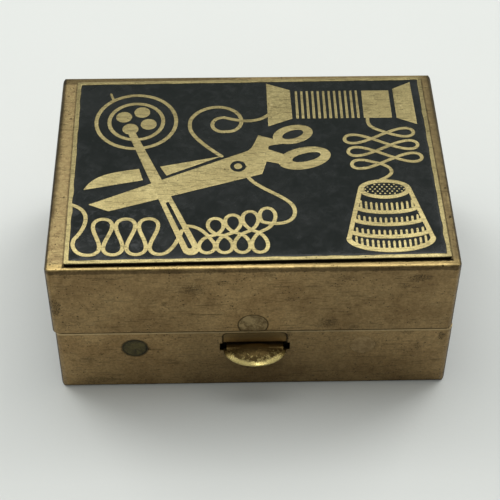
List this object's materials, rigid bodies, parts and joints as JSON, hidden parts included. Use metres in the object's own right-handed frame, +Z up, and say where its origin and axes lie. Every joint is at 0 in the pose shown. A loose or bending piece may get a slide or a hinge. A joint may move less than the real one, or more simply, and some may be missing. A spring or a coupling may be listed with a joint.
{
  "type": "hinged pocket sewing box",
  "caption": "Small hinged brass box with a black-enamelled lid plate of sewing notions, a rear knuckle hinge and a half-moon thumb catch on a leaf spring.",
  "frame": {"origin": "under the middle of the lid, in the plane the box stands on", "axes": "+X to the right along the front, +Y to the hinge at the back, +Z up"},
  "size_m": [0.0577, 0.044, 0.0262],
  "materials": {
    "shell_brass": "aged brass, dull brown-olive patina with pits and scratches, rubbed bright along edges",
    "plate_brass": "pale worn brass, satin, raised lines rubbed clean",
    "black_enamel": "near-black enamel, semi-gloss, faintly rubbed and dusty",
    "inner_brass": "unpolished brass, satin",
    "rivet_brass": "aged brass, filed flush",
    "pin_steel": "dull steel wire",
    "spring_bronze": "spring bronze strip, satin",
    "dark_rivet": "dark greenish iron, oxidised, filed flush",
    "lip_brass": "dark brown on top, rubbed to bright gold along the rim"
  },
  "bodies": {
    "base": {"base_shell": "shell_brass", "base_hinge_leaf": "inner_brass", "base_hinge_rivets": "rivet_brass", "hinge_pin": "pin_steel", "leaf_spring": "spring_bronze", "left_spring_rivet": "dark_rivet", "right_spring_rivet": "rivet_brass"},
    "lid": {"lid_shell": "shell_brass", "design_plate": "plate_brass", "enamel_field": "black_enamel", "lid_hinge_leaf": "inner_brass", "lid_hinge_rivets": "rivet_brass", "catch_tongue": "inner_brass", "tongue_stud": "rivet_brass"},
    "catch": {"thumb_lip": "lip_brass", "catch_hook": "inner_brass"}
  },
  "joints": [
    {"name": "lid_hinge", "type": "hinge", "parent": "base", "child": "lid", "pos_m": [0, 0.01935, 0.01227], "axis": [-1, 0, 0], "range_deg": [0, 105]},
    {"name": "catch_push", "type": "slide", "parent": "base", "child": "catch", "axis": [0, 1, 0], "range_m": [0, 0.001], "stiffness_N_per_m": 1500, "springref_m": -0.0005, "deforming": ["leaf_spring"]}
  ]
}
